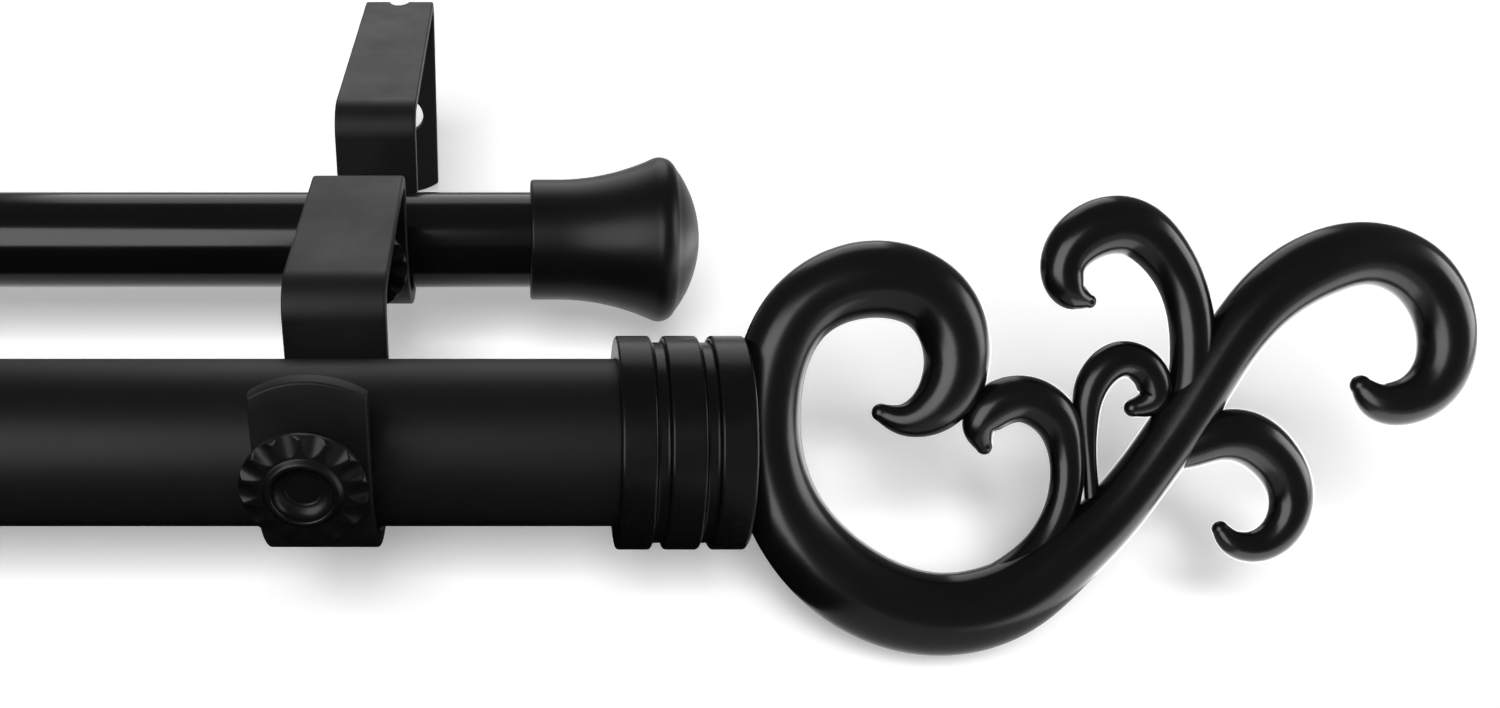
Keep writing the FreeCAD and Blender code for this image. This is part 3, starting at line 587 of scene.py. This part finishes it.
def drill(name, outline, y0, y1):
    """A straight cutter along Y: a closed (x, z) outline at y0 and y1, both ends closed on its middle."""
    middle = outline.mean(0)
    ends = [np.tile(middle, (len(outline), 1)), outline, outline, np.tile(middle, (len(outline), 1))]
    ys = [y0, y0, y1, y1]
    points = np.stack([np.column_stack([e[:, 0], np.full(len(e), y), e[:, 1]]) for e, y in zip(ends, ys)])
    return build(name, points.reshape(-1, 3), grid_faces(4, len(outline)), 30)


def round_hole(x, z, radius):
    """A circle of (x, z) points: the middle plus radius times (cos, sin)."""
    angle = np.linspace(0, 2 * math.pi, HOLE_POINTS, endpoint=False)
    return np.stack([x + radius * np.cos(angle), z + radius * np.sin(angle)], -1)


def end_rows(row, way):
    """Closes a sheared end: the last ring drawn in over a quarter round, then down to the middle line."""
    turn = np.linspace(0, math.pi / 2, 5)[:, None]
    middle = row[:, 1].mean()
    across = (row[:, 1] - middle) / HALF_T
    inset = (HALF_T - EDGE + EDGE * np.cos(turn)) * across + middle
    back = row[:, 2] - way * EDGE * (1 - np.sin(turn))
    rows = np.stack([np.broadcast_to(row[:, 0], inset.shape), inset, back], -1)
    line = np.stack([row[:, 0], np.full(len(row), middle), row[:, 2]], -1)
    return np.concatenate([rows, line[None]])


def bracket(name, x):
    """The bar with its dart and both ends closed, then drilled, then moved to its place along the poles."""
    points = pressed_dart(bar())
    points = np.concatenate([end_rows(points[0], -1)[::-1], points[1:-1], end_rows(points[-1], 1)])
    rows, columns = points.shape[:2]
    piece = build(name, points.reshape(-1, 3), grid_faces(rows, columns), 45)
    key_top = round_hole(0, KEY_TOP_Z, WALL_HOLE)[:HOLE_POINTS // 2 + 1]
    slot = np.vstack([key_top, [[-WALL_HOLE, KEY_Z], [WALL_HOLE, KEY_Z]]])
    plate = [round_hole(0, -WALL_HOLE_Z, WALL_HOLE), round_hole(0, WALL_HOLE_Z, WALL_HOLE),
             round_hole(0, KEY_Z, KEY_RADIUS), slot]
    cuts = [(outline, THROUGH_PLATE) for outline in plate]
    for pole, axis in (("front", FRONT_AXIS), ("rear", REAR_AXIS)):
        cuts.append((round_hole(0, axis[2] + SCREW_RISE[pole], TAPPED_HOLE), axis[1] + THROUGH_LEG))
    for outline, reach in cuts:
        cutter = drill("cutter", outline, *reach)
        cut = piece.modifiers.new("hole", "BOOLEAN")
        cut.object, cut.operation, cut.solver = cutter, "DIFFERENCE", "EXACT"
        bpy.context.view_layer.update()
        drilled = bpy.data.meshes.new_from_object(piece.evaluated_get(bpy.context.evaluated_depsgraph_get()))
        piece.modifiers.clear()
        piece.data = drilled
        bpy.data.objects.remove(cutter)
    piece.data.transform(Matrix.Translation((x * MM, 0, 0)))
    piece.data.polygons.foreach_set("use_smooth", np.ones(len(piece.data.polygons), bool))
    piece.data.set_sharp_from_angle(angle=math.radians(45))
    return piece


for side, base, *rest in ENDS:
    made = bracket(f"bracket_{side}_bar", base)
    dress(made, "wall_mounted", f"bracket_{side}", bracket_coat)

# %% [markdown]
# A thumb screw holds each pole down. Its knob could be carved with Booleans, but fourteen cuts leave ragged
# faces. So it is a turned shape whose face carries wide flutes: for a point at radius R and angle a, the
# face drops to a round-bottomed trough wherever the trough lies below it.

# %% Knob
FLUTES, FLUTE_COLUMNS = 14, 20
TROUGH, TROUGH_DEPTH, TILT = 2.6, 0.7, math.radians(19.5)
RIM, RIM_X = 8.8, 6.8
FACE_RISE, FACE_RUN = 0.4, 3.3
RING_FOOT = 5.5
KNOB_BORE, SEAT = 2.55, 4.4  # radius and depth


def knob_points():
    """Hub, tapered back, rim, face, raised ring and bowl as one profile, spun, with troughs in the face."""
    hub = rounded([(0, KNOB_BORE), (0, 5.5), (4.0, 5.5), (4.0, 7.2), (5.5, 8.7), (5.9, RIM), (6.4, 8.75),
                   (6.85, 8.35), (7.2, RING_FOOT)], 0.3, closed=False)
    across = np.linspace(7.9, 5.75, 20)
    face = np.stack([RIM_X + (RIM - across) * FACE_RISE / FACE_RUN, across], -1)
    bowl = arc_points((7.8, 4.3), (6.1, 2.8), 2.0, 1, 20)[5:]
    ring = rounded([face[-1], (7.2, RING_FOOT), (7.8, 4.9), (7.8, 4.3), bowl[0]], 0.5, closed=False)[1:-1]
    floor = rounded([bowl[-1], (6.1, 2.62), (5.92, 2.45), (5.92, 0.0)], 0.15, closed=False)[1:]
    seat = np.array([[SEAT, 0.0], [SEAT, KNOB_BORE]])
    profile = np.vstack([hub[:-1], face, ring, bowl, floor, seat])
    columns = FLUTES * FLUTE_COLUMNS
    points = turned(profile, columns)
    radius = profile[:, 1:]
    angle = np.linspace(0, 2 * math.pi, columns, endpoint=False)
    from_trough = (angle * FLUTES / (2 * math.pi) + 0.5) % 1 - 0.5
    aside = np.clip(np.abs(radius * np.sin(from_trough * 2 * math.pi / FLUTES)), 0, TROUGH)
    bottom = RIM_X - TROUGH_DEPTH + (RIM - radius) * math.tan(TILT)
    trough = bottom + (TROUGH - np.sqrt(TROUGH ** 2 - aside ** 2)) / math.cos(TILT)
    front = (profile[:, 0] > 5.7) & (profile[:, 1] > RING_FOOT)
    points[..., 0] = np.where(front[:, None], np.minimum(points[..., 0], trough), points[..., 0])
    return points


print("knob:", len(knob_points()), "rows of", FLUTES * FLUTE_COLUMNS, "points")

# %% [markdown]
# The shank is screwed through the bracket's leg until its tip meets the pole. It could be a plain cylinder
# with a bump, but it shows when the knob is turned out, so it has a real thread: its radius follows a
# saw-tooth along a helix.

# %% Shank and thumb screws
SHANK, PITCH, THREAD_DEPTH = 2.5, 0.8, 0.4
TIP_GAP = 0.3  # from the shank's tip to the pole
SEAT_GAP = 0.15  # room left at the bottom of the knob's bore
STANDOFF = 1.7  # from the bracket to the knob
BAR = 2 * HALF_T


def shank_points(length):
    """Radius = shank - depth times a saw-tooth of (x / pitch - angle / turn), faded out at both ends."""
    columns, rows = 40, int(length / PITCH * 8)
    angle = np.linspace(0, 2 * math.pi, columns, endpoint=False)
    x = np.linspace(0, length, rows)[:, None]
    tooth = np.abs(((x / PITCH - angle / (2 * math.pi)) % 1) * 2 - 1)
    fade = np.clip(np.minimum(x, length - x) / PITCH, 0, 1)
    radius = SHANK - THREAD_DEPTH * (tooth * fade + (1 - fade) * 0.9)
    radius[[0, -1]] = 0
    x = x + 0 * angle
    x[1], x[-2] = 0, length
    return np.stack([x, radius * np.cos(angle), radius * np.sin(angle)], -1)


def to_room(points, x, y, z):
    """Turns a piece drawn along +X to face the room: (x, y, z) becomes (y, -x, z), then moves it."""
    return np.stack([points[..., 1] + x, -points[..., 0] + y, points[..., 2] + z], -1)


for pole, axis in (("front", FRONT_AXIS), ("rear", REAR_AXIS)):
    rise = SCREW_RISE[pole]
    for side, base, *rest in ENDS:
        held = (OUTER if side == "right" else INNER)[pole]
        y, z = axis[1] - CUP_IN - BAR - STANDOFF, axis[2] + rise
        points = to_room(knob_points(), base, y, z)
        knob = build(f"thumb_knob_{pole}_{side}_fluted", points.reshape(-1, 3),
                     grid_faces(*points.shape[:2], ring_rows=True), 50)
        dress(knob, f"knob_{pole}_{side}", f"thumb_knob_{pole}_{side}", knob_plastic)
        reach = math.sqrt((held / 2 + TIP_GAP) ** 2 - (rise - SHANK) ** 2)
        length = SEAT - SEAT_GAP + STANDOFF + BAR + CUP_IN - reach
        points = shank_points(length) * np.array([-1, -1, 1])
        points = to_room(points, base, y - SEAT + SEAT_GAP, z)
        shank = build(f"thumb_stud_{pole}_{side}_thread", points.reshape(-1, 3),
                      grid_faces(*points.shape[:2]), 60)
        dress(shank, f"screw_{pole}_{side}", f"thumb_stud_{pole}_{side}", screw_steel)

# %% [markdown]
# The plugs and the studs inside the collars stay as they are packed. They are never seen, and only need a
# finish.

# %% Hidden pieces
for side, *rest in ENDS:
    for node, finish in ((f"front_plug_{side}", plug_plastic), (f"finial_stud_{side}", screw_steel)):
        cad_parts[node].data.materials.clear()
        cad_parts[node].data.materials.append(finish)
print("hidden pieces finished")

# %% [markdown]
# The photograph has a white ground with a soft shadow close under each piece. One lamp behind the camera
# and a little above it gives the plain light and that shadow. The floor is a white sheet. More light would
# make it white, but would grey the object. So the lamp's light on the sheet is worked out, its power times
# two slants, at the lamp and at the floor, over the distance squared, and a glow that only the camera and
# reflections see makes up what is missing from white. The floor is then even, keeps the shadow, and lights
# the object no more than plain paper would. From here on, lengths are in metres.

# %% Floor
FLOOR_Z, FLOOR_HALF = -0.0245, 60
LAMP_PLACE = np.array([-0.05, -1.1, 0.83])
LAMP_TARGET = np.array([0.0, -0.15, 0.0])
LAMP_POWER = 19.5
LAMP_AIM = (LAMP_TARGET - LAMP_PLACE) / np.linalg.norm(LAMP_TARGET - LAMP_PLACE)
PAPER = 0.87  # a touch under the sheet's own 0.89, so that lamp and glow together stay just over white


def sheet_of(name, x0, x1, y0, y1, z):
    """A level rectangle on the stage, from (x0, y0) to (x1, y1) at height z."""
    mesh = bpy.data.meshes.new(name)
    mesh.from_pydata([(x0, y0, z), (x1, y0, z), (x1, y1, z), (x0, y1, z)], [], [(0, 1, 2, 3)])
    flat = bpy.data.objects.new(name, mesh)
    bpy.context.scene.collection.objects.link(flat)
    return flat


floor = sheet_of("floor", -FLOOR_HALF, FLOOR_HALF, -FLOOR_HALF, FLOOR_HALF, FLOOR_Z)

sheet = bpy.data.materials.new("white_paper_sheet")
sheet.use_nodes = True
tree = sheet.node_tree
tree.nodes.clear()
path = add(tree, "LightPath")
seen = add(tree, "Math", {0: path.outputs["Is Camera Ray"], 1: path.outputs["Is Glossy Ray"]},
           operation="MAXIMUM")
seen = add(tree, "Math", {0: seen.outputs[0], 1: path.outputs["Is Transmission Ray"]}, operation="MAXIMUM")
place = add(tree, "TexCoord").outputs["Object"]
away = add(tree, "VectorMath", {0: place, 1: LAMP_PLACE}, operation="SUBTRACT")
reach = add(tree, "VectorMath", {0: away.outputs["Vector"]}, operation="LENGTH")
ahead = add(tree, "VectorMath", {0: away.outputs["Vector"], 1: LAMP_AIM}, operation="DOT_PRODUCT")
ahead = add(tree, "Math", {0: ahead.outputs["Value"], 1: 0.0}, operation="MAXIMUM")
thinned = add(tree, "Math", {0: reach.outputs["Value"], 1: -4.0}, operation="POWER")
lit = add(tree, "Math", {0: ahead.outputs[0], 1: thinned.outputs[0]}, operation="MULTIPLY")
full = PAPER * LAMP_POWER * (LAMP_PLACE[2] - FLOOR_Z) / math.pi ** 2
missing = add(tree, "Math", {0: lit.outputs[0], 1: -full, 2: 1.0}, operation="MULTIPLY_ADD", use_clamp=True)
glow = add(tree, "Math", {0: seen.outputs[0], 1: missing.outputs[0]}, operation="MULTIPLY")
paper = add(tree, "BsdfDiffuse", {"Color": linear("#f2f2f2")})
lift = add(tree, "Emission", {"Color": (1, 1, 1, 1), "Strength": glow.outputs[0]})
both = add(tree, "AddShader", {0: paper.outputs[0], 1: lift.outputs[0]})
add(tree, "OutputMaterial", {"Surface": both.outputs[0]})
floor.data.materials.append(sheet)
print("floor at height", FLOOR_Z, "m")

# %% [markdown]
# The world stands for the room. It is white to the camera, so that low views have no dark sky. A wall could
# do that too, but it would be in the way from behind. In reflections the world is dimmer, because black
# gloss shows the studio more than it shows light and needs a darker room.

# %% World
ROOM_PLAIN, ROOM_GLOSS = 0.05, 0.2  # the world's strength to all rays, and what reflections see on top
world = bpy.data.worlds.new("studio")
bpy.context.scene.world = world
world.use_nodes = True
tree = world.node_tree
tree.nodes.clear()
path = add(tree, "LightPath")
seen = add(tree, "Math", {0: path.outputs["Is Camera Ray"], 1: path.outputs["Is Transmission Ray"]},
           operation="MAXIMUM")
level = add(tree, "Math", {0: seen.outputs[0], 1: 1 - ROOM_PLAIN, 2: ROOM_PLAIN}, operation="MULTIPLY_ADD")
level = add(tree, "Math", {0: path.outputs["Is Glossy Ray"], 1: ROOM_GLOSS, 2: level.outputs[0]},
            operation="MULTIPLY_ADD")
room = add(tree, "Background", {"Color": (1, 1, 1, 1), "Strength": level.outputs[0]})
add(tree, "OutputWorld", {"Surface": room.outputs[0]})
print("world:", world.name)

# %% [markdown]
# Black gloss needs bright shapes to reflect, and those shapes shouldn't light the floor. So four softboxes
# are there for the reflections alone: a tall one on the left for the bright band along the poles, one
# behind for the top faces, one on the right for the rims, and one that lies on the floor under the scroll
# for the pale edges on its lower right. A black flag lies on the floor in front of and under the poles,
# where only reflections see it. It puts painted shade into the reflections on their undersides, which
# would otherwise show the white floor.

# %% Lamps and flag
LAMP_SIZE = (0.44, 0.44)
ON_FLOOR = FLOOR_Z + 0.001


def soft_lamp(name, place, target, size, power):
    """An area lamp of a (width, height), tilted by acos(-z) and turned by atan2(x, -y) to face its target."""
    lamp = bpy.data.objects.new(name, bpy.data.lights.new(name, "AREA"))
    lamp.data.shape, lamp.data.size, lamp.data.size_y, lamp.data.energy = "RECTANGLE", *size, power
    bpy.context.scene.collection.objects.link(lamp)
    lamp.location = place
    aim = np.array(target) - np.array(place)
    lamp.rotation_euler = (math.acos(-aim[2] / np.linalg.norm(aim)), 0, math.atan2(aim[0], -aim[1]) + math.pi)
    return lamp


# Name, place, the point it faces, (width, height) and power in watts.
SOFTBOXES = [("left_softbox", (-0.74, -1.32, 0.78), (-0.1, -0.15, 0.52), (1.2, 1.35), 43),
             ("back_softbox", (0.0, 1.25, 1.0), (0.0, -0.15, 0.0), (1.2, 1.3), 12),
             ("right_softbox", (1.3, -0.3, 0.35), (0.1, -0.15, 0.0), (0.7, 0.7), 13),
             ("low_softbox", (0.29, -0.16, ON_FLOOR), (0.29, -0.1601, 1.0), (0.32, 0.28), 1.2)]
for box in SOFTBOXES:
    lamp = soft_lamp(*box)
    lamp.visible_diffuse = lamp.visible_camera = False
soft_lamp("front_lamp", LAMP_PLACE, LAMP_TARGET, LAMP_SIZE, LAMP_POWER).visible_glossy = False

# A black sheet that only reflections see: painted shade in the reflections on the poles' undersides.
flag = sheet_of("reflected_shade_flag", -1.3, 0.07, -1.0, -0.12, ON_FLOOR)
for rays in ("camera", "diffuse", "transmission", "shadow"):
    setattr(flag, "visible_" + rays, False)
velvet = bpy.data.materials.new("reflected_shade_black")
velvet.use_nodes = True
velvet.node_tree.nodes.clear()
cloth = add(velvet.node_tree, "BsdfDiffuse", {"Color": linear("#101010")})
add(velvet.node_tree, "OutputMaterial", {"Surface": cloth.outputs[0]})
flag.data.materials.append(velvet)
bpy.context.scene.view_settings.view_transform = "Standard"
